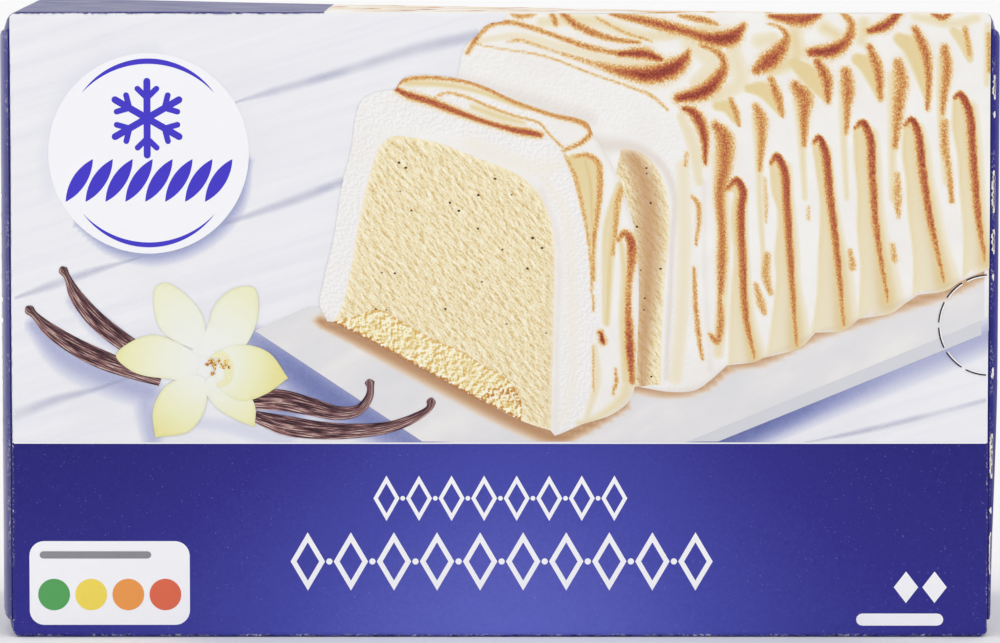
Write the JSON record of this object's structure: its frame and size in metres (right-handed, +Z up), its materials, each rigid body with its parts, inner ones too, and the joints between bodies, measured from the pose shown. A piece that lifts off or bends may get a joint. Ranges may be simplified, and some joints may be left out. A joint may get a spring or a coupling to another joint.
{
  "type": "frozen dessert carton",
  "caption": "Shut folding carton for a frozen meringue dessert, with a printed front, sprung end flaps and a half-round press-in opening tab.",
  "frame": {"origin": "middle of the base, on the surface the carton stands on", "axes": "+X along the carton's length, -Y out of the printed front panel, +Z up"},
  "size_m": [0.2466, 0.091, 0.1535],
  "materials": {
    "printed_board": "gloss varnish",
    "blue_board": "gloss varnish"
  },
  "bodies": {
    "root": {"carton_body": "printed_board", "left_end_flap": "blue_board", "right_end_flap": "blue_board"}
  },
  "joints": []
}
